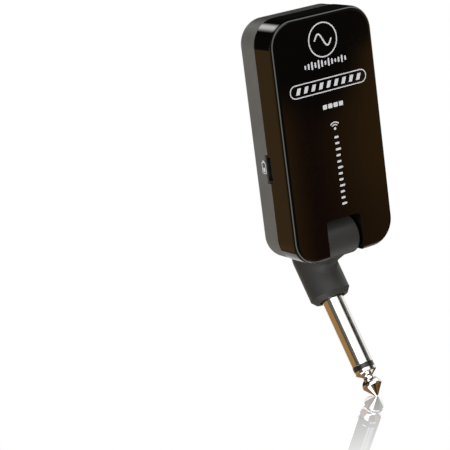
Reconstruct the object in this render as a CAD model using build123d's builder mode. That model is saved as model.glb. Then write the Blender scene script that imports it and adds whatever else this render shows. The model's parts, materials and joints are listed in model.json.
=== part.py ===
# Wireless guitar transmitter: a flat two-shell housing hung on a folding 6.35 mm jack plug.
# Origin: centre of the plug's shoulder, where the metal sleeve leaves the moulded arm.
# X is across the housing, Y runs from the glossy front (-Y) to the matt back (+Y), Z is up.
import os
from math import sin, cos, radians, sqrt
from build123d import *

os.makedirs("parts", exist_ok=True)

# ---------------------------------------------------------------- driving dimensions (mm)
SWING = 32.0            # plug swung forward from straight down, degrees
CRANK = 13.5            # hinge axis to plug axis
SHOULDER = 14.2         # hinge plane to plug shoulder, along the plug
HINGE_BACK = 6.3        # hinge axis behind the front face
HINGE_UP = 4.2          # hinge axis above the housing's bottom

W, H, D = 34.6, 69.6, 17.2          # housing
R_OUT = 7.4                         # outline corner radius
SEAM = 8.4                          # front face to parting line
WALL = 1.6
FACE_EDGE = 1.3                     # rounded edge of the front face
BACK_EDGE = 3.2                     # rounded edge of the back
NOTCH_W, NOTCH_H = 11.9, 11.1      # hinge notch, right through the housing
CHEEK = 2.0                         # thickness of the notch's side walls

BARREL_R, BARREL_W = 5.7, 10.9
ARM_R = 6.1                         # moulded grip round the plug
NECK_R = 2.6                        # concave sweep under the neck
PIN_R, PIN_BORE = 1.5, 0.95
BUSH_R = 2.9
CABLE_R = 0.8
RUN = 0.05                          # running clearance, radial

PLUG_R = 3.175                      # 6.35 mm plug
SLEEVE_L, RING_L, PLUG_L = 21.2, 1.2, 31.0
ROD_R, TUBE_R, SHANK_R = 0.9, 1.7, 4.2
SHANK_L = 6.0                       # knurled shank inside the grip

BOARD_T = 1.0
BOARD_FRONT = 6.35                  # board's front surface, behind the front face
SIDE_Y = 8.65                       # height of the socket and keys, behind the front face
USB_UP = 28.0
KEY_UP, CH_UP, LED_UP = 46.0, 30.0, 38.0
KEY_L, KEY_W, KEY_GAP = 7.0, 2.4, 0.3

# ---------------------------------------------------------------- derived positions
c, s = cos(radians(SWING)), sin(radians(SWING))
HY = -(CRANK * c - SHOULDER * s)
HZ = CRANK * s + SHOULDER * c
FY = HY - HINGE_BACK                # front face
BY = FY + D                         # back face
SY = FY + SEAM                      # parting line
Z0 = HZ - HINGE_UP                  # bottom of the housing
Z1 = Z0 + H
ZC = (Z0 + Z1) / 2
KY = FY + SIDE_Y                    # centre line of socket and keys
BF = FY + BOARD_FRONT               # board front surface
BB = BF + BOARD_T                   # board back surface
POSTS = ((0, Z0 + 16.0), (-12.0, Z1 - 5.8), (12.0, Z1 - 5.8))       # case screws
BOARD_POSTS = ((-11.6, Z0 + 22.0), (11.6, Z0 + 57.0))               # board screws

SIDE = Plane(origin=(0, 0, 0), x_dir=(0, c, -s), z_dir=(1, 0, 0))   # u away from the hinge, v up the arm
PLUG_AXIS = Axis((0, 0, 0), (0, -s, -c))
UH, VH = -CRANK, SHOULDER           # hinge axis in SIDE coordinates


def front(y):
    """Sketch plane at depth y; positive extrusion goes towards the front."""
    return Plane.XZ.offset(-y)


def across(x):
    """Sketch plane square to X: local x is +Y, local y is +Z, extrusion goes to +X."""
    return Plane.YZ.offset(x)


def save(part, name):
    part.part.label = name
    export_step(part.part, f"parts/{name}.step")


# ================================================================= HOUSING
# ---- glossy front shell
with BuildPart() as front_shell:
    with BuildSketch(front(SY)):
        with Locations((0, ZC)):
            RectangleRounded(W, H, R_OUT)
    extrude(amount=SEAM)
    fillet(front_shell.faces().sort_by(Axis.Y)[0].edges(), radius=FACE_EDGE)
    # cavity, leaving the notch's cheeks and the three screw posts standing
    with BuildSketch(front(SY)):
        with Locations((0, ZC)):
            RectangleRounded(W - 2 * WALL, H - 2 * WALL, R_OUT - WALL)
        with Locations((0, Z0 + (NOTCH_H + CHEEK) / 2)):
            Rectangle(NOTCH_W + 2 * CHEEK, NOTCH_H + CHEEK, mode=Mode.SUBTRACT)
        with Locations(*POSTS):
            Circle(2.3, mode=Mode.SUBTRACT)
    extrude(amount=SEAM - WALL, mode=Mode.SUBTRACT)
    # board posts, two threaded and two plain
    with BuildSketch(front(BF)):
        with Locations(*BOARD_POSTS, (-12.2, Z0 + 57.0)):
            Circle(1.7)
    extrude(amount=BOARD_FRONT - 1.0)
    # notch
    with BuildSketch(front(FY - 1)):
        with Locations((0, Z0 + NOTCH_H / 2 - 2)):
            RectangleRounded(NOTCH_W, NOTCH_H + 4, 0.9)
    extrude(amount=-(D + 2), mode=Mode.SUBTRACT)
    # seats for the hinge bushings, open towards the parting line
    with BuildSketch(across(-NOTCH_W / 2 - CHEEK)):
        with Locations((HY, HZ)):
            Circle(BUSH_R)
        with Locations(((HY + SY) / 2 + 0.5, HZ)):
            Rectangle(SY - HY + 1.0, 2 * BUSH_R)
    extrude(amount=NOTCH_W + 2 * CHEEK, mode=Mode.SUBTRACT)
    # pilot holes
    with BuildSketch(front(SY)):
        with Locations(*POSTS):
            Circle(0.9)
    extrude(amount=5.6, mode=Mode.SUBTRACT)
    with BuildSketch(front(BF)):
        with Locations(*BOARD_POSTS):
            Circle(0.7)
    extrude(amount=3.2, mode=Mode.SUBTRACT)
    # socket opening, chamfered corners on the front side
    with BuildSketch(across(-W / 2 - 1)):
        with BuildLine():
            Polyline((KY - 1.55, Z0 + USB_UP - 3.25), (KY - 0.65, Z0 + USB_UP - 4.15), (KY + 1.55, Z0 + USB_UP - 4.15),
                     (KY + 1.55, Z0 + USB_UP + 4.15), (KY - 0.65, Z0 + USB_UP + 4.15), (KY - 1.55, Z0 + USB_UP + 3.25),
                     close=True)
        make_face()
    extrude(amount=WALL + 1.5, mode=Mode.SUBTRACT)
    # key openings and lamp opening on the other side
    with BuildSketch(across(W / 2 + 1)):
        with Locations((KY, Z0 + KEY_UP), (KY, Z0 + CH_UP)):
            RectangleRounded(KEY_W + 2 * KEY_GAP, KEY_L + 2 * KEY_GAP, KEY_W / 2 + KEY_GAP - 0.02)
        with Locations((KY, Z0 + LED_UP)):
            Circle(1.0)
    extrude(amount=-(WALL + 1.5), mode=Mode.SUBTRACT)

# ---- matt back shell
with BuildPart() as back_shell:
    with BuildSketch(front(SY)):
        with Locations((0, ZC)):
            RectangleRounded(W - 0.3, H - 0.3, R_OUT - 0.15)
    extrude(amount=-(D - SEAM))
    fillet(back_shell.faces().sort_by(Axis.Y)[-1].edges(), radius=BACK_EDGE)
    # small bevel that makes the parting line
    chamfer(back_shell.faces().sort_by(Axis.Y)[0].edges(), length=0.25)
    # stepped cavity, again leaving the cheeks and posts
    for y0, depth, inset in ((SY, 4.6, 0.0), (SY + 4.6, D - SEAM - WALL - 4.6, 1.3)):
        with BuildSketch(front(y0)):
            with Locations((0, ZC)):
                RectangleRounded(W - 2 * WALL - 2 * inset, H - 2 * WALL - 2 * inset, R_OUT - WALL - inset)
            with Locations((0, Z0 + (NOTCH_H + CHEEK) / 2)):
                Rectangle(NOTCH_W + 2 * CHEEK, NOTCH_H + CHEEK, mode=Mode.SUBTRACT)
            with Locations(*POSTS):
                Circle(2.3, mode=Mode.SUBTRACT)
        extrude(amount=-depth, mode=Mode.SUBTRACT)
    with BuildSketch(front(FY - 1)):
        with Locations((0, Z0 + NOTCH_H / 2 - 2)):
            RectangleRounded(NOTCH_W, NOTCH_H + 4, 0.9)
    extrude(amount=-(D + 2), mode=Mode.SUBTRACT)
    # round seats for the backs of the hinge bushings
    with BuildSketch(across(-NOTCH_W / 2 - CHEEK)):
        with Locations((HY, HZ)):
            Circle(BUSH_R)
    extrude(amount=NOTCH_W + 2 * CHEEK, mode=Mode.SUBTRACT)
    # screw clearance holes with recessed head seats
    with BuildSketch(front(SY)):
        with Locations(*POSTS):
            Circle(0.9)
    extrude(amount=-(D - SEAM + 1), mode=Mode.SUBTRACT)
    with BuildSketch(front(BY - 2.2)):
        with Locations(*POSTS):
            Circle(1.75)
    extrude(amount=-3.0, mode=Mode.SUBTRACT)
    with BuildSketch(across(-W / 2 - 1)):
        with BuildLine():
            Polyline((KY - 1.55, Z0 + USB_UP - 3.25), (KY - 0.65, Z0 + USB_UP - 4.15), (KY + 1.55, Z0 + USB_UP - 4.15),
                     (KY + 1.55, Z0 + USB_UP + 4.15), (KY - 0.65, Z0 + USB_UP + 4.15), (KY - 1.55, Z0 + USB_UP + 3.25),
                     close=True)
        make_face()
    extrude(amount=WALL + 1.5, mode=Mode.SUBTRACT)
    with BuildSketch(across(W / 2 + 1)):
        with Locations((KY, Z0 + KEY_UP), (KY, Z0 + CH_UP)):
            RectangleRounded(KEY_W + 2 * KEY_GAP, KEY_L + 2 * KEY_GAP, KEY_W / 2 + KEY_GAP - 0.02)
        with Locations((KY, Z0 + LED_UP)):
            Circle(1.0)
    extrude(amount=-(WALL + 1.5), mode=Mode.SUBTRACT)

# ---- three case screws, driven in from the back
with BuildPart() as case_screws:
    with BuildSketch(front(BY - 2.2)):
        with Locations(*POSTS):
            Circle(1.7)
    extrude(amount=-1.1)
    with BuildSketch(front(BY - 2.2)):
        with Locations(*POSTS):
            Circle(0.9)
    extrude(amount=D - 2.2 - SEAM + 5.0)
    with BuildSketch(front(BY - 1.1)):
        with Locations(*POSTS):
            Rectangle(2.0, 0.45)
            Rectangle(0.45, 2.0)
    extrude(amount=0.6, mode=Mode.SUBTRACT)

# ---- hinge bushings, one in each cheek
for side, name in ((-1, "hinge_bushing_left"), (1, "hinge_bushing_right")):
    x_in = side * (BARREL_W / 2 + 0.1)
    with BuildPart() as bushing:
        with BuildSketch(across(x_in)):
            with Locations((HY, HZ)):
                Circle(BUSH_R)
            with Locations(((HY + SY) / 2, HZ)):
                Rectangle(SY - HY, 2 * BUSH_R)
        extrude(amount=side * (NOTCH_W / 2 + CHEEK - BARREL_W / 2 - 0.1))
        with BuildSketch(across(x_in - side)):
            with Locations((HY, HZ)):
                Circle(PIN_R + RUN)
        extrude(amount=side * 8, mode=Mode.SUBTRACT)
    save(bushing, name)

# ---- circuit board
with BuildPart() as main_board:
    with BuildSketch(front(BF)):
        with Locations((0, Z0 + (19.2 + 60.2) / 2)):
            RectangleRounded(29.0, 41.0, 1.2)
    extrude(amount=-BOARD_T)
    with BuildSketch(front(BF)):
        with Locations(*BOARD_POSTS):
            Circle(0.7)
    extrude(amount=-BOARD_T, mode=Mode.SUBTRACT)

with BuildPart() as board_screws:
    with BuildSketch(front(BB)):
        with Locations(*BOARD_POSTS):
            Circle(1.4)
    extrude(amount=-0.9)
    with BuildSketch(front(BB)):
        with Locations(*BOARD_POSTS):
            Circle(0.7)
    extrude(amount=BOARD_T + 3.0)

# ---- radio section: screening can, and what is under it
with BuildPart() as shield_can:
    with BuildSketch(front(BF)):
        with Locations((-3.0, Z0 + 48.5)):
            RectangleRounded(15.0, 12.0, 0.5)
    extrude(amount=1.9)
    with BuildSketch(front(BF)):
        with Locations((-3.0, Z0 + 48.5)):
            RectangleRounded(14.6, 11.6, 0.3)
    extrude(amount=1.7, mode=Mode.SUBTRACT)

with BuildPart() as radio_chip:
    with BuildSketch(front(BF)):
        with Locations((-5.5, Z0 + 48.5)):
            Rectangle(6.0, 6.0)
    extrude(amount=0.85)

with BuildPart() as crystal:
    with BuildSketch(front(BF)):
        with Locations((1.4, Z0 + 48.5)):
            RectangleRounded(3.2, 2.5, 0.2)
    extrude(amount=0.7)

with BuildPart() as antenna:
    with BuildSketch(front(BF)):
        with Locations((-2.0, Z0 + 58.4)):
            Rectangle(7.0, 2.0)
    extrude(amount=1.2)

with BuildPart() as codec_chip:
    with BuildSketch(front(BF)):
        with Locations((0.0, Z0 + 32.5)):
            Rectangle(5.0, 5.0)
    extrude(amount=0.9)

with BuildPart() as charge_chip:
    with BuildSketch(front(BF)):
        with Locations((-9.0, Z0 + 34.5)):
            Rectangle(3.0, 3.0)
    extrude(amount=0.9)

with BuildPart() as power_inductor:
    with BuildSketch(front(BF)):
        with Locations((-8.6, Z0 + 29.2)):
            RectangleRounded(4.0, 4.0, 0.5)
    extrude(amount=1.8)

# ---- charging socket
with BuildPart() as usb_socket:
    with BuildSketch(across(-W / 2 + 0.5)):
        with BuildLine():
            Polyline((KY - 1.3, Z0 + USB_UP - 2.95), (KY - 0.5, Z0 + USB_UP - 3.75), (KY + 1.3, Z0 + USB_UP - 3.75),
                     (KY + 1.3, Z0 + USB_UP + 3.75), (KY - 0.5, Z0 + USB_UP + 3.75), (KY - 1.3, Z0 + USB_UP + 2.95),
                     close=True)
        make_face()
    extrude(amount=5.2)
    with BuildSketch(across(-W / 2 + 0.5)):
        with BuildLine():
            Polyline((KY - 1.02, Z0 + USB_UP - 2.75), (KY - 0.4, Z0 + USB_UP - 3.45), (KY + 1.02, Z0 + USB_UP - 3.45),
                     (KY + 1.02, Z0 + USB_UP + 3.45), (KY - 0.4, Z0 + USB_UP + 3.45), (KY - 1.02, Z0 + USB_UP + 2.75),
                     close=True)
        make_face()
    extrude(amount=4.6, mode=Mode.SUBTRACT)

with BuildPart() as usb_tongue:
    with BuildSketch(across(-W / 2 + 1.2)):
        with Locations((KY + 0.2, Z0 + USB_UP)):
            Rectangle(0.6, 5.2)
    extrude(amount=3.9)

# ---- battery, its pad and its leads
with BuildPart() as battery:
    with BuildSketch(front(FY + 10.5)):
        with Locations((-1.0, Z0 + 36.5)):
            RectangleRounded(20.0, 30.0, 1.2)
    extrude(amount=-4.5)
    fillet(battery.edges().filter_by(GeomType.LINE).filter_by(Axis.Z), radius=1.6)

with BuildPart() as battery_pad:
    with BuildSketch(front(FY + 15.0)):
        with Locations((-1.0, Z0 + 36.5)):
            Rectangle(16.0, 24.0)
    extrude(amount=-(D - WALL - 15.0))

for x0, name in ((-3.6, "battery_lead_red"), (-1.2, "battery_lead_black")):
    with BuildPart() as lead:
        with BuildLine() as path:
            FilletPolyline((x0, FY + 12.6, Z0 + 51.5), (x0, FY + 12.6, Z0 + 54.6), (x0, BB, Z0 + 54.6), radius=2.2)
        with BuildSketch(Plane(origin=path.line @ 0, z_dir=path.line % 0)):
            Circle(0.45)
        sweep(path=path.line)
    save(lead, name)

# ---- keys and their switches
for up, tag in ((KEY_UP, "power"), (CH_UP, "channel")):
    with BuildPart() as key:
        with BuildSketch(across(14.95)):
            with Locations((KY, Z0 + up)):
                RectangleRounded(KEY_W + 1.6, KEY_L + 1.6, 1.6)
        extrude(amount=0.7)
        with BuildSketch(across(15.65)):
            with Locations((KY, Z0 + up)):
                RectangleRounded(KEY_W, KEY_L, KEY_W / 2 - 0.02)
        extrude(amount=W / 2 + 0.6 - 15.65)
        fillet(key.faces().sort_by(Axis.X)[-1].edges(), radius=0.3)
        with BuildSketch(across(14.95)):
            with Locations((KY, Z0 + up)):
                Circle(0.8)
        extrude(amount=-0.35)
    save(key, f"{tag}_key")
    with BuildPart() as switch:
        with BuildSketch(across(9.9)):
            with Locations((KY, Z0 + up)):
                Rectangle(2.6, 4.6)
        extrude(amount=3.7)
        with BuildSketch(across(13.6)):
            with Locations((KY, Z0 + up)):
                Circle(0.88)
        extrude(amount=-1.6, mode=Mode.SUBTRACT)
    save(switch, f"{tag}_switch")
    with BuildPart() as plunger:
        with BuildSketch(across(14.6)):
            with Locations((KY, Z0 + up)):
                Circle(0.8)
        extrude(amount=-2.1)
    save(plunger, f"{tag}_plunger")

# ---- status lamp
with BuildPart() as status_led:
    with BuildSketch(across(12.2)):
        with Locations((KY, Z0 + LED_UP)):
            Rectangle(2.6, 3.0)
    extrude(amount=1.6)

with BuildPart() as light_pipe:
    with BuildSketch(across(W / 2 - WALL)):
        with Locations((KY, Z0 + LED_UP)):
            Circle(1.0)
    extrude(amount=WALL - 0.1)
    with BuildSketch(across(13.8)):
        with Locations((KY, Z0 + LED_UP)):
            Circle(1.25)
    extrude(amount=W / 2 - WALL - 13.8)

# ---- signal cable inside the housing, from the end of the hinge pin to the board
with BuildPart() as housing_cable:
    with BuildLine() as hc_path:
        FilletPolyline((9.9, HY, HZ), (12.8, HY, HZ), (12.8, BF - 0.85, Z0 + 17.0), (12.8, BF - 0.85, Z0 + 25.0), radius=2.2)
    with BuildSketch(Plane(origin=hc_path.line @ 0, z_dir=hc_path.line % 0)):
        Circle(CABLE_R)
    sweep(path=hc_path.line)

# ================================================================= PLUG ARM
with BuildPart() as plug_arm:
    # grip: chamfered at the plug end, domed over the elbow
    with BuildSketch(SIDE):
        with BuildLine():
            Polyline((0, SHOULDER + ARM_R - 0.4), (0, 0), (ARM_R - 1.1, 0), (ARM_R, 1.4), (ARM_R, SHOULDER - 0.4))
            RadiusArc((ARM_R, SHOULDER - 0.4), (0, SHOULDER + ARM_R - 0.4), -ARM_R)
        make_face()
    revolve(axis=PLUG_AXIS)
    # neck from the elbow to the hinge barrel
    with BuildSketch(Plane(origin=SIDE.from_local_coords((UH, VH, 0)), x_dir=(1, 0, 0), z_dir=(0, c, -s))):
        RectangleRounded(BARREL_W, 2 * BARREL_R, 4.6)
    extrude(amount=CRANK)
    # sweep the underside of the neck into the grip
    fillet(plug_arm.edges().filter_by(
        lambda e: 4 < SIDE.to_local_coords(e.center()).Y < SHOULDER + 5 and -ARM_R - 0.5 < SIDE.to_local_coords(e.center()).X < -0.2
        and e.geom_type != GeomType.LINE), radius=NECK_R)
    # barrel, with a soft edge at each end
    with BuildSketch(Plane(origin=SIDE.from_local_coords((UH, VH, 0)), x_dir=(1, 0, 0), z_dir=(0, c, -s))):
        with BuildLine():
            Polyline((-BARREL_W / 2, BARREL_R - 0.4), (-BARREL_W / 2, 0), (BARREL_W / 2, 0), (BARREL_W / 2, BARREL_R - 0.4))
            RadiusArc((BARREL_W / 2, BARREL_R - 0.4), (BARREL_W / 2 - 0.4, BARREL_R), -0.4)
            Line((BARREL_W / 2 - 0.4, BARREL_R), (-BARREL_W / 2 + 0.4, BARREL_R))
            RadiusArc((-BARREL_W / 2 + 0.4, BARREL_R), (-BARREL_W / 2, BARREL_R - 0.4), -0.4)
        make_face()
    revolve(axis=Axis((0, HY, HZ), (1, 0, 0)))
    # bore for the hinge pin
    with BuildSketch(SIDE.offset(-BARREL_W / 2 - 1)):
        with Locations((UH, VH)):
            Circle(PIN_R)
    extrude(amount=BARREL_W + 2, mode=Mode.SUBTRACT)
    # shallow recess round the plug, seat for its shank, wiring chamber behind it, and the passage to the pin
    with BuildSketch(SIDE):
        Polygon((0, -1), (3.9, -1), (3.9, 0.5), (PLUG_R - 0.2, 0.5), (PLUG_R - 0.2, 0.9), (SHANK_R, 0.9), (SHANK_R, SHOULDER + 2.0),
                (0, SHOULDER + 2.0), align=None)
    revolve(axis=PLUG_AXIS, mode=Mode.SUBTRACT)
    with BuildSketch(Plane(origin=SIDE.from_local_coords((UH, VH, 0)), x_dir=(1, 0, 0), z_dir=(0, c, -s))):
        Circle(1.4)
    extrude(amount=CRANK, mode=Mode.SUBTRACT)
    with BuildSketch(Plane(origin=SIDE.from_local_coords((UH, VH, 0)), x_dir=(1, 0, 0), z_dir=(0, c, -s))):
        with Locations((0.9, 0)):
            SlotOverall(4.6, 2.8)
    extrude(amount=4.6, mode=Mode.SUBTRACT)
save(plug_arm, "plug_arm")

# ---- hollow hinge pin, windowed in the middle for the cable
CLIPS = (-8.55, 8.6)                # inner faces of the clip grooves, on the low-x side
with BuildPart() as hinge_pin:
    with BuildSketch(SIDE.offset(-9.2)):
        with Locations((UH, VH)):
            Circle(PIN_R)
    extrude(amount=18.6)
    with BuildSketch(SIDE.offset(-1.2)):
        with Locations((UH, VH)):
            Circle(PIN_BORE)
    extrude(amount=12.0, mode=Mode.SUBTRACT)
    with BuildSketch(Plane(origin=SIDE.from_local_coords((UH, VH, 0)), x_dir=(1, 0, 0), z_dir=(0, c, -s))):
        with Locations((0.9, 0)):
            SlotOverall(4.2, 2 * PIN_BORE)
    extrude(amount=3, mode=Mode.SUBTRACT)
    for x0 in CLIPS:
        with BuildSketch(SIDE.offset(x0)):
            with Locations((UH, VH)):
                Circle(PIN_R + 1)
                Circle(PIN_R - 0.2, mode=Mode.SUBTRACT)
        extrude(amount=0.5, mode=Mode.SUBTRACT)

# ---- two retaining clips, open on the side away from the plug
with BuildPart() as retaining_clips:
    for x0 in CLIPS:
        with BuildSketch(SIDE.offset(x0)):
            with Locations((UH, VH)):
                Circle(2.2)
                Circle(PIN_R - 0.2, mode=Mode.SUBTRACT)
            with Locations((UH, VH + 2.0)):
                Rectangle(1.8, 3.0, mode=Mode.SUBTRACT)
        extrude(amount=0.5)

# ---- friction washer between the right bushing and its clip, loading the hinge
with BuildPart() as friction_washer:
    with BuildSketch(SIDE.offset(NOTCH_W / 2 + CHEEK + 0.05)):
        with Locations((UH, VH)):
            Circle(2.2)
            Circle(PIN_R, mode=Mode.SUBTRACT)
    extrude(amount=0.6)

# ---- plug: sleeve with its knurled shank
with BuildPart() as plug_sleeve:
    with BuildSketch(SIDE):
        Polygon((TUBE_R, SHANK_L), (SHANK_R, SHANK_L), (SHANK_R, 0.9), (PLUG_R - 0.2, 0.9), (PLUG_R - 0.2, 0.3), (PLUG_R, 0.3),
                (PLUG_R, -SLEEVE_L + 0.15), (PLUG_R - 0.15, -SLEEVE_L), (TUBE_R, -SLEEVE_L), align=None)
    revolve(axis=PLUG_AXIS)

with BuildPart() as plug_ring:
    with BuildSketch(SIDE):
        Polygon((TUBE_R, -SLEEVE_L), (PLUG_R, -SLEEVE_L), (PLUG_R, -SLEEVE_L - RING_L), (TUBE_R, -SLEEVE_L - RING_L),
                align=None)
    revolve(axis=PLUG_AXIS)

T0 = SLEEVE_L + RING_L
with BuildPart() as plug_tip:
    with BuildSketch(SIDE):
        Polygon((ROD_R, -T0), (PLUG_R - 0.15, -T0), (PLUG_R, -T0 - 0.15), (PLUG_R, -T0 - 1.05),
                (PLUG_R - 0.25, -T0 - 1.3), (1.75, -T0 - 2.15), (1.6, -T0 - 2.4), (1.6, -T0 - 2.85), (1.75, -T0 - 3.15),
                (2.35, -T0 - 3.7), (2.7, -T0 - 4.1), (2.88, -T0 - 4.6), (2.92, -T0 - 5.0), (2.92, -T0 - 5.3), (2.8, -T0 - 5.55),
                (0.6, -PLUG_L + 0.3), (0.42, -PLUG_L + 0.1), (0.2, -PLUG_L), (0, -PLUG_L), (0, -T0 - 3.0), (ROD_R, -T0 - 3.0),
                align=None)
    revolve(axis=PLUG_AXIS)

with BuildPart() as plug_rod:
    with BuildSketch(SIDE):
        with Locations((0, -T0 - 3.0)):
            Rectangle(ROD_R, T0 + 3.0 + SHANK_L + 1.5, align=(Align.MIN, Align.MIN))
    revolve(axis=PLUG_AXIS)

with BuildPart() as rod_insulator:
    with BuildSketch(SIDE):
        with Locations((ROD_R, -T0)):
            Rectangle(TUBE_R - ROD_R, T0 + SHANK_L + 0.8, align=(Align.MIN, Align.MIN))
    revolve(axis=PLUG_AXIS)

# ---- solder lugs: a ring on the sleeve's shank, a disc on the end of the rod
LUG = Plane(origin=SIDE.from_local_coords((0, SHANK_L, 0)), x_dir=(1, 0, 0), z_dir=(0, s, c))
with BuildPart() as ground_lug:
    with BuildSketch(LUG):
        Circle(3.6)
        with Locations((0, 0)):
            Circle(TUBE_R, mode=Mode.SUBTRACT)
    extrude(amount=0.4)
    with BuildSketch(LUG):
        with Locations((-2.9, 0)):
            Rectangle(0.5, 1.6)
    extrude(amount=3.4)

with BuildPart() as tip_lug:
    with BuildSketch(LUG.offset(0.8)):
        Circle(2.0)
        Circle(ROD_R, mode=Mode.SUBTRACT)
    extrude(amount=0.4)
    with BuildSketch(LUG.offset(0.8)):
        with Locations((1.65, 0)):
            Rectangle(0.5, 1.4)
    extrude(amount=1.5)

# ---- signal cable in the arm: from the lugs, through the neck, out along the hinge pin
def arm_point(u, v, x=0.0):
    return SIDE.from_local_coords((u, v, x))

VC = VH - 3.6                       # where the two wires join the cable
with BuildPart() as arm_cable:
    with BuildLine() as ac_path:
        FilletPolyline(arm_point(0.3, VC), arm_point(0.3, VH), arm_point(UH, VH), arm_point(UH, VH, 9.6), radius=1.6)
    with BuildSketch(Plane(origin=ac_path.line @ 0, z_dir=ac_path.line % 0)):
        Circle(CABLE_R)
    sweep(path=ac_path.line)

for x0, x1, name in ((-2.3, -0.4, "ground_wire"), (2.35, 0.4, "tip_wire")):
    with BuildPart() as wire:
        with BuildLine() as w_path:
            FilletPolyline(arm_point(0.3, SHANK_L + 1.4, x0), arm_point(0.3, SHANK_L + 2.5, x0), arm_point(0.3, VC - 0.7, x1), arm_point(0.3, VC, x1),
                           radius=0.5)
        with BuildSketch(Plane(origin=w_path.line @ 0, z_dir=w_path.line % 0)):
            Circle(0.35)
        sweep(path=w_path.line)
    save(wire, name)

for p, n in ((hinge_pin, "hinge_pin"), (retaining_clips, "retaining_clips"), (friction_washer, "friction_washer"), (plug_sleeve, "plug_sleeve"),
             (plug_ring, "plug_ring"), (plug_tip, "plug_tip"), (plug_rod, "plug_rod"), (rod_insulator, "rod_insulator"),
             (ground_lug, "ground_lug"), (tip_lug, "tip_lug"), (arm_cable, "arm_cable")):
    save(p, n)
for p, n in ((front_shell, "front_shell"), (back_shell, "back_shell"), (case_screws, "case_screws"), (main_board, "main_board"),
             (board_screws, "board_screws"), (shield_can, "shield_can"), (radio_chip, "radio_chip"), (crystal, "crystal"),
             (antenna, "antenna"), (codec_chip, "codec_chip"), (charge_chip, "charge_chip"), (power_inductor, "power_inductor"),
             (usb_socket, "usb_socket"), (usb_tongue, "usb_tongue"), (battery, "battery"), (battery_pad, "battery_pad"),
             (status_led, "status_led"), (light_pipe, "light_pipe"), (housing_cable, "housing_cable")):
    save(p, n)
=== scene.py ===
# Looks for the wireless guitar transmitter. Units are metres; the row frame is kept throughout.
import json
import math

import bmesh
import bpy
from mathutils import Matrix, Vector
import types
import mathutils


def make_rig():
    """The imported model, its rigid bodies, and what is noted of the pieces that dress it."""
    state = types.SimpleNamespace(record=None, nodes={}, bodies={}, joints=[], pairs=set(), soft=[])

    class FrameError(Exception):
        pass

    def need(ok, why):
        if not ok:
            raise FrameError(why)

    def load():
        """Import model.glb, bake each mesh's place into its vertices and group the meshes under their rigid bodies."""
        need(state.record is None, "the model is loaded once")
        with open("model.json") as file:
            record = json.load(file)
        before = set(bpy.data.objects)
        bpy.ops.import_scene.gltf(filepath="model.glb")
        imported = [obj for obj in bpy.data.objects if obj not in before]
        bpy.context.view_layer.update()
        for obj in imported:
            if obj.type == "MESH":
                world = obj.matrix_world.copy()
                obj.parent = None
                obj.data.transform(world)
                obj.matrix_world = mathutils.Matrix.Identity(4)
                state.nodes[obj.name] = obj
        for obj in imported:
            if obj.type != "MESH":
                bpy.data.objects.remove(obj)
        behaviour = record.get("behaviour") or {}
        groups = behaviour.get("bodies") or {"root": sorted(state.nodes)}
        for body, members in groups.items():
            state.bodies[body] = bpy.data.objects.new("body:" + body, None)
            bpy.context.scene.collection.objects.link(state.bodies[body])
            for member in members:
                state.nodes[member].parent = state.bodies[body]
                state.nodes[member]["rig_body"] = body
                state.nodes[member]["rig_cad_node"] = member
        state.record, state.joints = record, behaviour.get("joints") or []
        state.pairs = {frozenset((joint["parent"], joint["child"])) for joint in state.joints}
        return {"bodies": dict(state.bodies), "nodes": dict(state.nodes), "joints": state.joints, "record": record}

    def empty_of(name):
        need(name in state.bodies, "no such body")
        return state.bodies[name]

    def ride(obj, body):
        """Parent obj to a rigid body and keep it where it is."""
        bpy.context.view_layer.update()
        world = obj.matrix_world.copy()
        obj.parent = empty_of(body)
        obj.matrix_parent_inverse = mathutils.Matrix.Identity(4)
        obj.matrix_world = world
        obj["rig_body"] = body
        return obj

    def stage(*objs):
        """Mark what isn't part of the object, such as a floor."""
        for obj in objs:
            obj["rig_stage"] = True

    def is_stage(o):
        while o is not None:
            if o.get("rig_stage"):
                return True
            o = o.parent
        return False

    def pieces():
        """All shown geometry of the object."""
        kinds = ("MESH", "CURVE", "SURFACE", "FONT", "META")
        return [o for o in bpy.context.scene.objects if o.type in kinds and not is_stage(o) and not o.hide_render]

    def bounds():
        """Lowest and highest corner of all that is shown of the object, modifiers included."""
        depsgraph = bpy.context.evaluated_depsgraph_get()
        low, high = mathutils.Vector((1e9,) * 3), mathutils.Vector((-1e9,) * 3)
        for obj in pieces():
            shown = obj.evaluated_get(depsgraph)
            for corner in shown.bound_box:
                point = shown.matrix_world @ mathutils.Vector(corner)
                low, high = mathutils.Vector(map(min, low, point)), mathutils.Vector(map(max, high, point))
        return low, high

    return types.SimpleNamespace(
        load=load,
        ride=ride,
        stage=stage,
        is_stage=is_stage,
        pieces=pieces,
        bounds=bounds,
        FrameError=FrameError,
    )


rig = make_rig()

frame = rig.load()
cad_box = [list(map(float, v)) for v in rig.bounds()]
nodes = frame["nodes"]
scene = bpy.context.scene

# ------------------------------------------------------------------ where things are (mm, as in the CAD)
SW = math.radians(32.0)
C, S = math.cos(SW), math.sin(SW)
CRANK, SHOULDER = 13.5, 14.2
HY, HZ = -(CRANK * C - SHOULDER * S), CRANK * S + SHOULDER * C
FY, Z0 = HY - 6.3, HZ - 4.2
W, H, D = 34.6, 69.6, 17.2
Z1, BY, SEAM = Z0 + H, FY + D, FY + 8.4
KY = FY + 8.65
TIP = Vector((0, -31.0 * S, -31.0 * C))
mm = 0.001


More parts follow.
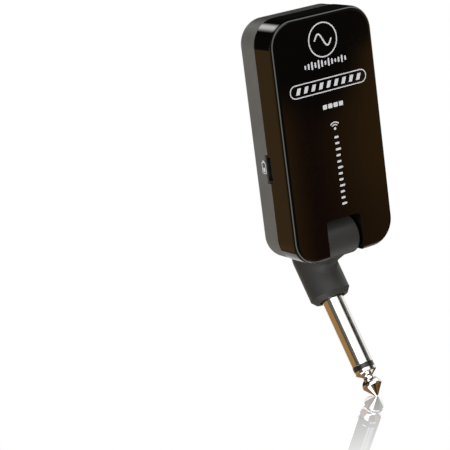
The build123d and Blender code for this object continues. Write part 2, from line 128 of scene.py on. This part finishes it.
# ------------------------------------------------------------------ material helpers
class Mat:
    """A principled material with a small kit of procedural nodes."""

    def __init__(self, name, **values):
        self.m = bpy.data.materials.new(name)
        self.m.use_nodes = True
        self.t = self.m.node_tree
        self.p = self.t.nodes["Principled BSDF"]
        self.set(**values)
        self.co = self.node("ShaderNodeTexCoord")

    def set(self, **values):
        for k, v in values.items():
            self.p.inputs[k.replace("_", " ")].default_value = (*v, 1.0) if isinstance(v, tuple) and len(v) == 3 else v

    def node(self, kind, **inputs):
        n = self.t.nodes.new(kind)
        for k, v in inputs.items():
            n.inputs[k.replace("_", " ")].default_value = v
        return n

    def link(self, a, b):
        self.t.links.new(a, b)

    def noise(self, scale, detail=3.0, rough=0.5, stretch=None):
        n = self.node("ShaderNodeTexNoise", Scale=scale, Detail=detail, Roughness=rough)
        src = self.co.outputs["Object"]
        if stretch:
            mp = self.node("ShaderNodeMapping")
            mp.inputs["Scale"].default_value = stretch
            self.link(src, mp.inputs["Vector"])
            src = mp.outputs["Vector"]
        self.link(src, n.inputs["Vector"])
        return n

    def span(self, fac, lo, hi, a=0.0, b=1.0):
        r = self.node("ShaderNodeMapRange")
        r.inputs["From Min"].default_value, r.inputs["From Max"].default_value = a, b
        r.inputs["To Min"].default_value, r.inputs["To Max"].default_value = lo, hi
        self.link(fac, r.inputs["Value"])
        return r.outputs["Result"]

    def ramp(self, fac, *stops):
        r = self.node("ShaderNodeValToRGB")
        els = r.color_ramp.elements
        while len(els) < len(stops):
            els.new(0.5)
        for e, (pos, col) in zip(els, stops):
            e.position, e.color = pos, (*col, 1.0)
        self.link(fac, r.inputs["Fac"])
        return r.outputs["Color"]

    def bump(self, *layers):
        """layers: (height socket, strength, distance in metres)"""
        prev = None
        for h, strength, dist in layers:
            b = self.node("ShaderNodeBump", Strength=strength, Distance=dist)
            self.link(h, b.inputs["Height"])
            if prev:
                self.link(prev, b.inputs["Normal"])
            prev = b.outputs["Normal"]
        self.link(prev, self.p.inputs["Normal"])


def gloss_shell():
    m = Mat("gloss_shell", Specular_IOR_Level=0.5)
    big = m.noise(22, 2, 0.4)
    m.link(m.ramp(big.outputs["Fac"], (0.3, (0.0014, 0.0011, 0.0010)), (0.75, (0.0022, 0.0016, 0.0013))), m.p.inputs["Base Color"])
    fine = m.noise(900, 3, 0.6)
    m.link(m.span(fine.outputs["Fac"], 0.03, 0.055, 0.3, 0.7), m.p.inputs["Roughness"])
    peel = m.noise(260, 2, 0.4)
    m.bump((peel.outputs["Fac"], 0.02, 0.00003))
    return m.m


def grained(name, lo, hi, rough=(0.5, 0.65), grain=5200, strength=0.25, spec=0.4):
    m = Mat(name, Specular_IOR_Level=spec)
    big = m.noise(90, 4, 0.55)
    m.link(m.ramp(big.outputs["Fac"], (0.3, lo), (0.7, hi)), m.p.inputs["Base Color"])
    vor = m.node("ShaderNodeTexVoronoi", Scale=grain)
    m.link(m.co.outputs["Object"], vor.inputs["Vector"])
    tiny = m.noise(grain * 0.6, 3, 0.6)
    m.link(m.span(tiny.outputs["Fac"], rough[0], rough[1], 0.3, 0.7), m.p.inputs["Roughness"])
    m.bump((vor.outputs["Distance"], strength, 0.00002), (tiny.outputs["Fac"], strength * 0.7, 0.00003))
    return m.m


def metal(name, lo, hi, rough, stretch=None, scale=900, strength=0.02, dist=0.00001):
    m = Mat(name, Metallic=1.0)
    n = m.noise(scale, 3, 0.55, stretch)
    m.link(m.ramp(n.outputs["Fac"], (0.3, lo), (0.7, hi)), m.p.inputs["Base Color"])
    m.link(m.span(n.outputs["Fac"], rough[0], rough[1], 0.3, 0.7), m.p.inputs["Roughness"])
    m.bump((n.outputs["Fac"], strength, dist))
    return m.m


def plain(name, lo, hi, rough=(0.3, 0.5), scale=400, **extra):
    m = Mat(name, **extra)
    n = m.noise(scale, 3, 0.5)
    m.link(m.ramp(n.outputs["Fac"], (0.3, lo), (0.7, hi)), m.p.inputs["Base Color"])
    m.link(m.span(n.outputs["Fac"], rough[0], rough[1], 0.3, 0.7), m.p.inputs["Roughness"])
    m.bump((n.outputs["Fac"], 0.05, 0.00003))
    return m.m


M = {
    "gloss_shell": gloss_shell(),
    "matt_shell": grained("matt_shell", (0.075, 0.072, 0.066), (0.092, 0.088, 0.081), spec=0.3),
    "arm_plastic": grained("arm_plastic", (0.019, 0.0187, 0.0180), (0.025, 0.0246, 0.0236), rough=(0.46, 0.56), grain=4200, strength=0.14, spec=0.3),
    "plated": metal("plated", (0.82, 0.79, 0.75), (0.88, 0.85, 0.81), (0.10, 0.15), strength=0.004),
    "insulator": plain("insulator", (0.006, 0.006, 0.006), (0.012, 0.012, 0.012), (0.15, 0.3)),
    "steel": metal("steel", (0.42, 0.42, 0.43), (0.55, 0.55, 0.56), (0.2, 0.35), stretch=(1, 8, 8)),
    "black_screw": metal("black_screw", (0.03, 0.03, 0.032), (0.06, 0.06, 0.064), (0.3, 0.45)),
    "acetal": plain("acetal", (0.55, 0.54, 0.50), (0.65, 0.63, 0.58)),
    "board": plain("board", (0.01, 0.07, 0.03), (0.015, 0.10, 0.045), (0.2, 0.35)),
    "can": metal("can", (0.6, 0.6, 0.58), (0.72, 0.72, 0.70), (0.2, 0.4)),
    "chip": plain("chip", (0.012, 0.012, 0.012), (0.02, 0.02, 0.02)),
    "ceramic": plain("ceramic", (0.7, 0.68, 0.62), (0.8, 0.78, 0.72)),
    "ferrite": plain("ferrite", (0.04, 0.04, 0.045), (0.07, 0.07, 0.075), (0.6, 0.8)),
    "socket_metal": metal("socket_metal", (0.10, 0.10, 0.10), (0.15, 0.15, 0.145), (0.3, 0.45)),
    "tongue": plain("tongue", (0.01, 0.01, 0.01), (0.015, 0.015, 0.015)),
    "cell": plain("cell", (0.5, 0.51, 0.53), (0.6, 0.61, 0.63), (0.25, 0.4), Metallic=0.6),
    "foam": plain("foam", (0.02, 0.02, 0.02), (0.05, 0.05, 0.05), (0.85, 0.95), scale=2500),
    "wire_red": plain("wire_red", (0.4, 0.01, 0.01), (0.5, 0.02, 0.02)),
    "wire_black": plain("wire_black", (0.01, 0.01, 0.01), (0.02, 0.02, 0.02)),
    "cable_jacket": plain("cable_jacket", (0.015, 0.015, 0.015), (0.025, 0.025, 0.025), (0.5, 0.65)),
    "key_plastic": grained("key_plastic", (0.012, 0.012, 0.012), (0.018, 0.018, 0.018), strength=0.1),
    "switch_body": plain("switch_body", (0.02, 0.02, 0.02), (0.03, 0.03, 0.03)),
    "plunger": plain("plunger", (0.5, 0.48, 0.42), (0.6, 0.57, 0.5)),
    "lamp": plain("lamp", (0.7, 0.72, 0.6), (0.8, 0.82, 0.7)),
    "pipe": plain("pipe", (0.75, 0.82, 0.85), (0.85, 0.9, 0.92), (0.08, 0.15), Transmission_Weight=0.8),
    "brass": metal("brass", (0.62, 0.44, 0.17), (0.72, 0.53, 0.24), (0.2, 0.35)),
    "tube": plain("tube", (0.6, 0.57, 0.5), (0.68, 0.65, 0.58)),
}
slot_of = {s["node"]: s["material_slot"] for s in frame["record"]["subparts"]}
for name, ob in nodes.items():
    ob.data.materials.clear()
    ob.data.materials.append(M[slot_of[name]])


# ------------------------------------------------------------------ printed marks: thin ink shapes in generic forms
def ink():
    m = Mat("ink", Specular_IOR_Level=0.4)
    n = m.noise(2600, 3, 0.6)
    m.link(m.ramp(n.outputs["Fac"], (0.3, (0.40, 0.40, 0.41)), (0.7, (0.47, 0.47, 0.485))), m.p.inputs["Base Color"])
    m.link(m.span(n.outputs["Fac"], 0.4, 0.55, 0.3, 0.7), m.p.inputs["Roughness"])
    m.bump((n.outputs["Fac"], 0.1, 0.00001))
    return m.m


INK = ink()


def stroke(points, width, closed=False):
    """A line of even width as a row of four-sided faces; points are (across, up) in mm."""
    p = [Vector(q) for q in points]
    n = len(p)
    sides = []
    for i in range(n):
        a = p[i - 1] if (i or closed) else p[i]
        b = p[(i + 1) % n] if (i < n - 1 or closed) else p[i]
        t0 = (p[i] - a).normalized() if (p[i] - a).length else (b - p[i]).normalized()
        t1 = (b - p[i]).normalized() if (b - p[i]).length else t0
        d = (t0 + t1).normalized()
        nrm = Vector((-d.y, d.x))
        k = width / 2 / max(0.35, nrm.dot(Vector((-t1.y, t1.x))))
        sides.append((p[i] + nrm * k, p[i] - nrm * k))
    out = []
    for i in range(n if closed else n - 1):
        a, b = sides[i], sides[(i + 1) % n]
        out.append([a[0], b[0], b[1], a[1]])
    return out


def bar(x0, x1, z0, z1, r=None, steps=6):
    """A rectangle with rounded ends or corners, as one face."""
    r = min(x1 - x0, z1 - z0) / 2 if r is None else r
    pts = []
    for cx, cz, a0 in ((x1 - r, z1 - r, 0), (x0 + r, z1 - r, 90), (x0 + r, z0 + r, 180), (x1 - r, z0 + r, 270)):
        for i in range(steps + 1):
            a = math.radians(a0 + 90 * i / steps)
            pts.append(Vector((cx + r * math.cos(a), cz + r * math.sin(a))))
    return [pts]


def outline(x0, x1, z0, z1, r, width, steps=6):
    return stroke(bar(x0, x1, z0, z1, r, steps)[0], width, closed=True)


def arc(cx, cz, r, a0, a1, n=24):
    return [(cx + r * math.cos(math.radians(a0 + (a1 - a0) * i / n)), cz + r * math.sin(math.radians(a0 + (a1 - a0) * i / n)))
            for i in range(n + 1)]


def mark(name, faces, place, lift=0.03, sink=0.02):
    """Faces in the plane of a surface, made into a layer of ink. place(a, b, h) gives the point h mm outside the surface."""
    bm = bmesh.new()
    for f in faces:
        try:
            bm.faces.new([bm.verts.new(Vector(place(q[0], q[1], -sink)) * mm) for q in f])
        except ValueError:
            pass
    bmesh.ops.remove_doubles(bm, verts=bm.verts, dist=2e-6)
    out = Vector(place(0, 0, lift)) * mm - Vector(place(0, 0, -sink)) * mm
    top = bmesh.ops.extrude_face_region(bm, geom=bm.faces[:])["geom"]
    bmesh.ops.translate(bm, vec=out, verts=[g for g in top if isinstance(g, bmesh.types.BMVert)])
    bmesh.ops.recalc_face_normals(bm, faces=bm.faces)
    me = bpy.data.meshes.new(name)
    bm.to_mesh(me)
    bm.free()
    me.materials.append(INK)
    ob = bpy.data.objects.new(name, me)
    scene.collection.objects.link(ob)
    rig.ride(ob, "housing")
    return ob


def on_face(a, b, h):
    return (a, FY - h, Z0 + b)


def on_left(a, b, h):
    return (-W / 2 - h, a, Z0 + b)


# ring with one plain wave in it
ring = arc(0, 62.1, 4.75, 0, 360, 72)[:-1]
mark("mark_ring", stroke(ring, 0.36, closed=True), on_face)
wave = [(-2.9 + 5.8 * i / 40, 62.1 + 1.75 * math.sin(2 * math.pi * i / 40)) for i in range(41)]
mark("mark_wave", stroke(wave, 0.46), on_face)
# row of level bars
heights = (1.1, 1.7, 2.3, 1.5, 2.5, 1.9, 1.2, 2.2, 1.6, 1.0, 1.5, 2.1, 1.3)
faces = []
for i, hgt in enumerate(heights):
    x = -6.9 + 1.15 * i
    faces += bar(x - 0.27, x + 0.27, 55.6 - hgt / 2, 55.6 + hgt / 2)
mark("mark_levels", faces, on_face)
# long outlined capsule with slanted strokes
mark("mark_capsule", outline(-12.9, 13.3, 47.7, 51.3, 1.8, 0.3), on_face)
faces = []
for i in range(9):
    x = -10.2 + 2.6 * i
    faces.append([(x - 0.85, 48.6), (x + 0.35, 48.6), (x + 1.05, 50.4), (x - 0.15, 50.4)])
mark("mark_slants", faces, on_face)
# four small blocks
faces = []
for i in range(4):
    faces += bar(-2.6 + 1.85 * i, -2.6 + 1.85 * i + 1.45, 42.7, 44.0, 0.25)
mark("mark_blocks", faces, on_face)
# radio waves over a dot
faces = bar(0.3, 1.1, 36.3, 37.1, 0.4)
for r in (1.15, 1.85):
    faces += stroke(arc(0.7, 36.7, r, 40, 140, 14), 0.32)
mark("mark_waves", faces, on_face)
# column of dashes, every third one longer
faces = []
for i in range(12):
    z = 14.7 + 1.75 * i
    faces += bar(0.15, 1.55 if i % 3 else 1.9, z, z + 0.62, 0.2)
mark("mark_scale", faces, on_face)
# battery outline beside the charging slot, on the left side
by, bz = 0.6, 28.5
faces = outline(by - 0.85, by + 0.85, bz - 1.75, bz + 1.35, 0.3, 0.26) + bar(by - 0.4, by + 0.4, bz + 1.5, bz + 1.95, 0.1)
faces += bar(by - 0.45, by + 0.45, bz - 1.35, bz - 0.2, 0.15)
mark("mark_battery", faces, on_left)

# ------------------------------------------------------------------ camera
right = Vector((0.8229844825860514, -0.5535737078230253, -0.12748604405830744))
down = Vector((-0.24505567293836653, -0.14350320373551156, -0.9588297803460045))
ahead = Vector((0.5124883009233411, 0.8203432089831135, -0.2537572873672689))
cam = bpy.data.cameras.new("camera")
cam.lens, cam.sensor_width, cam.clip_start, cam.clip_end = 155.7255, 36.0, 0.01, 50.0
cam_ob = bpy.data.objects.new("camera", cam)
scene.collection.objects.link(cam_ob)
cam_ob.matrix_world = Matrix(((right.x, -down.x, -ahead.x, -0.309336), (right.y, -down.y, -ahead.y, -0.442385),
                              (right.z, -down.z, -ahead.z, 0.167571), (0, 0, 0, 1)))
scene.camera = cam_ob

# ------------------------------------------------------------------ studio
scene.view_settings.view_transform = "Standard"
world = bpy.data.worlds.new("studio")
scene.world = world
world.use_nodes = True
world.cycles_visibility.diffuse = False
wt = world.node_tree


def wn(kind, **props):
    n = wt.nodes.new(kind)
    for k, v in props.items():
        setattr(n, k, v)
    return n


def put(sock, v):
    if isinstance(v, (int, float)):
        sock.default_value = v
    elif isinstance(v, tuple):
        sock.default_value = (*v, 1.0)
    else:
        wt.links.new(v, sock)


def calc(op, a, b=0.0, c=None):
    n = wn("ShaderNodeMath", operation=op)
    put(n.inputs[0], a)
    put(n.inputs[1], b)
    if c is not None:
        put(n.inputs[2], c)
    return n.outputs[0]


def smooth(v, lo, hi, out=1.0):
    """0 at lo, out at hi, with an eased step between; lo may be a socket or a number."""
    if not isinstance(lo, (int, float)) or not isinstance(hi, (int, float)):
        n = wn("ShaderNodeMapRange", interpolation_type="SMOOTHSTEP")
        put(n.inputs["Value"], v)
        put(n.inputs["From Min"], lo)
        put(n.inputs["From Max"], hi)
        put(n.inputs["To Max"], out)
        return n.outputs["Result"]
    n = wn("ShaderNodeMapRange", interpolation_type="SMOOTHSTEP")
    put(n.inputs["Value"], v)
    n.inputs["From Min"].default_value, n.inputs["From Max"].default_value = lo, hi
    n.inputs["To Max"].default_value = out
    return n.outputs["Result"]


def window(v, lo, hi, soft):
    return calc("MULTIPLY", smooth(v, lo - soft, lo + soft), smooth(v, hi + soft, hi - soft))


def layer(under, colour, mask):
    n = wn("ShaderNodeMix", data_type="RGBA")
    put(n.inputs[0], mask)
    put(n.inputs[6], under)
    put(n.inputs[7], colour)
    return n.outputs[2]


sky = wn("ShaderNodeTexCoord")
xyz = wn("ShaderNodeSeparateXYZ")
wt.links.new(sky.outputs["Generated"], xyz.inputs[0])
AZ = calc("MULTIPLY", calc("ARCTAN2", xyz.outputs["X"], calc("MULTIPLY", xyz.outputs["Y"], -1.0)), 57.29578)
EL = calc("MULTIPLY", calc("ARCSINE", xyz.outputs["Z"]), 57.29578)
env = (0.010, 0.010, 0.010)
# the dark studio's walls, seen in the gloss
env = layer(env, (0.12, 0.115, 0.105), calc("MULTIPLY", window(AZ, -100, -67, 4), window(EL, 8, 28, 3)))
env = layer(env, (0.08, 0.078, 0.075), calc("MULTIPLY", window(AZ, 59, 71, 3), window(EL, 26, 32, 2)))
# two large soft windows with blurred edges: high in front, and low on the right
env = layer(env, (1.25, 1.25, 1.25), calc("MULTIPLY", window(AZ, -62, 30, 9), window(EL, 24, 72, 8)))
env = layer(env, (1.0, 1.0, 0.99), calc("MULTIPLY", window(AZ, 84, 134, 7), window(EL, -12, 30, 6)))
env = layer(env, (0.10, 0.10, 0.098), calc("MULTIPLY", window(AZ, 36, 80, 6), window(EL, 0, 24, 6)))
# warm wall at the back left
edge = calc("ADD", calc("MULTIPLY", calc("ADD", AZ, 148.0), 18.0 / 47.0), -8.0)
above = calc("SUBTRACT", EL, edge)
env = layer(env, (0.37, 0.215, 0.078), calc("MULTIPLY", window(AZ, -168, -98, 2), calc("MULTIPLY", smooth(above, 1.5, -1.5), smooth(EL, -40, -30))))
# warm floor cloth in front, which the face reflects
lo = calc("ADD", calc("ADD", smooth(EL, -12.6, -10.3, 1.7), smooth(EL, -10.3, -9.3, 0.9)), 34.6)
right_lobe = calc("MULTIPLY", smooth(AZ, lo, calc("MAXIMUM", calc("ADD", lo, 0.6), 36.95)), calc("SUBTRACT", 1.0, smooth(EL, -13.0, -15.4, 0.42)))
left_lobe = calc("MULTIPLY", smooth(AZ, 34.85, 33.95, 0.9), smooth(EL, -10.8, -12.3))
zone = calc("MULTIPLY", window(AZ, 22, 60, 5), window(EL, -32, 2, 3))
env = layer(env, (0.055, 0.010, 0.006), calc("MULTIPLY", smooth(EL, -11.0, -12.5), zone))
env = layer(env, (0.37, 0.185, 0.04), calc("MULTIPLY", calc("MAXIMUM", right_lobe, left_lobe), zone))
# white wall at the back
back = calc("MAXIMUM", smooth(AZ, 149, 152), smooth(AZ, -169, -172))
env = layer(env, (1.0, 1.0, 1.0), calc("MULTIPLY", back, window(EL, -40, -6, 3)))
# below
env = layer(env, (0.25, 0.16, 0.08), smooth(EL, -35, -42))
env = layer(env, (0.10, 0.06, 0.03), calc("MULTIPLY", window(AZ, 64, 104, 6), window(EL, -42, -24, 3)))
env = layer(env, (1.1, 1.08, 1.02), calc("MULTIPLY", window(AZ, 20, 120, 6), smooth(EL, -42, -46)))
# a tube light bent round the object: each point of it is where one rounded edge of the housing sends the eye
v0 = wn("ShaderNodeCombineXYZ")
for s, v in zip(v0.inputs, (0.5125, 0.8203, -0.2538)):
    s.default_value = v
half = wn("ShaderNodeVectorMath", operation="SUBTRACT")
wt.links.new(sky.outputs["Generated"], half.inputs[0])
wt.links.new(v0.outputs[0], half.inputs[1])
unit = wn("ShaderNodeVectorMath", operation="NORMALIZE")
wt.links.new(half.outputs[0], unit.inputs[0])
hx = wn("ShaderNodeSeparateXYZ")
wt.links.new(unit.outputs[0], hx.inputs[0])
TH = calc("MULTIPLY", calc("ARCCOSINE", calc("MULTIPLY", hx.outputs["Y"], -1.0)), 57.29578)
PH = calc("MULTIPLY", calc("ARCTAN2", hx.outputs["Z"], calc("MULTIPLY", hx.outputs["X"], -1.0)), 57.29578)
path = wn("ShaderNodeLightPath")
sharp = calc("SUBTRACT", 1.0, path.outputs["Is Diffuse Ray"])
tube = calc("MULTIPLY", window(TH, 35, 49, 3), window(PH, -75, 118, 12))
env = layer(env, (2.9, 2.9, 2.85), calc("MULTIPLY", tube, sharp))
# soft patch seen in the rounded top left corner
patch = calc("MULTIPLY", window(TH, 66, 104, 3), window(PH, 50, 64, 6))
env = layer(env, (4.6, 4.57, 4.5), calc("MULTIPLY", patch, sharp))
open_view = calc("MAXIMUM", path.outputs["Is Camera Ray"], path.outputs["Is Singular Ray"])
env = layer(env, (1.0, 1.0, 1.0), open_view)
put(wt.nodes["Background"].inputs["Color"], env)
wt.nodes["Background"].inputs["Strength"].default_value = 1.0


def softbox(name, az, el, h0, h1, w0, w1, radiance, colour=(1, 1, 1), diffuse=True, glossy=True, away=1.5, at=(0, -0.003, 0.03)):
    """A rectangular light facing the object: az 0 is the front, 90 the right; h and w are its extents sideways and upwards as tangents."""
    a, e = math.radians(az), math.radians(el)
    d = Vector((math.sin(a) * math.cos(e), -math.cos(a) * math.cos(e), math.sin(e)))
    h = Vector((math.cos(a), math.sin(a), 0))
    w = d.cross(h)
    li = bpy.data.lights.new(name, "AREA")
    li.shape, li.size, li.size_y = "RECTANGLE", (h1 - h0) * away, (w1 - w0) * away
    li.energy, li.color = radiance * math.pi * li.size * li.size_y, colour
    ob = bpy.data.objects.new(name, li)
    scene.collection.objects.link(ob)
    loc = Vector(at) + (d + h * (h0 + h1) / 2 + w * (w0 + w1) / 2) * away
    ob.matrix_world = Matrix(((h.x, w.x, d.x, loc.x), (h.y, w.y, d.y, loc.y), (h.z, w.z, d.z, loc.z), (0, 0, 0, 1)))
    ob.visible_camera = False
    ob.visible_diffuse = diffuse
    ob.visible_glossy = glossy
    return ob


softbox("fill_left", -88, 0, -0.45, 0.45, -0.14, 0.14, 9.4, glossy=False)
softbox("fill_front", -10, 7, -0.5, 0.5, -0.16, 0.16, 10.0, glossy=False)
softbox("fill_right", 100, 0, -0.5, 0.5, -0.35, 0.35, 2.2, glossy=False)
softbox("fill_back", 175, -2, -0.5, 0.5, -0.35, 0.35, 2.6, glossy=False)

# floor: plain and pale, with a wet-looking patch under the tip that fades outwards
floor_mesh = bpy.data.meshes.new("floor")
z = TIP.z * mm
floor_mesh.from_pydata([(-6, -6, z), (6, -6, z), (6, 6, z), (-6, 6, z)], [], [(0, 1, 2, 3)])
floor = bpy.data.objects.new("floor", floor_mesh)
scene.collection.objects.link(floor)
floor.visible_glossy = False
floor.visible_shadow = False
fm = bpy.data.materials.new("floor")
fm.use_nodes = True
ft = fm.node_tree
ft.nodes.clear()
fout = ft.nodes.new("ShaderNodeOutputMaterial")
mixs = ft.nodes.new("ShaderNodeMixShader")
glow = ft.nodes.new("ShaderNodeEmission")
glow.inputs["Color"].default_value = (1, 1, 1, 1)
glow.inputs["Strength"].default_value = 1.0
gloss = ft.nodes.new("ShaderNodeBsdfGlossy")
gloss.inputs["Color"].default_value = (1, 1, 1, 1)
gloss.inputs["Roughness"].default_value = 0.0
fco = ft.nodes.new("ShaderNodeTexCoord")
fd = ft.nodes.new("ShaderNodeVectorMath")
fd.operation = "DISTANCE"
fd.inputs[1].default_value = (TIP.x * mm, TIP.y * mm, z)
ft.links.new(fco.outputs["Object"], fd.inputs[0])
fr = ft.nodes.new("ShaderNodeValToRGB")
els = fr.color_ramp.elements
while len(els) < 5:
    els.new(0.5)
for e, (pos, v) in zip(els, ((0.0, 0.70), (0.08, 0.46), (0.16, 0.24), (0.26, 0.08), (0.4, 0.0))):
    e.position, e.color = pos, (v, v, v, 1)
fs = ft.nodes.new("ShaderNodeMath")
fs.operation = "MULTIPLY"
fs.inputs[1].default_value = 4.0
ft.links.new(fd.outputs["Value"], fs.inputs[0])
ft.links.new(fs.outputs[0], fr.inputs["Fac"])
ft.links.new(fr.outputs["Color"], mixs.inputs["Fac"])
ft.links.new(glow.outputs[0], mixs.inputs[1])
ft.links.new(gloss.outputs[0], mixs.inputs[2])
ft.links.new(mixs.outputs[0], fout.inputs["Surface"])
floor.data.materials.append(fm)
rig.stage(floor)

visual_box = [list(map(float, v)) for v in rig.bounds()]
json.dump({"cad": cad_box, "visual": visual_box}, open("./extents.json", "w"))
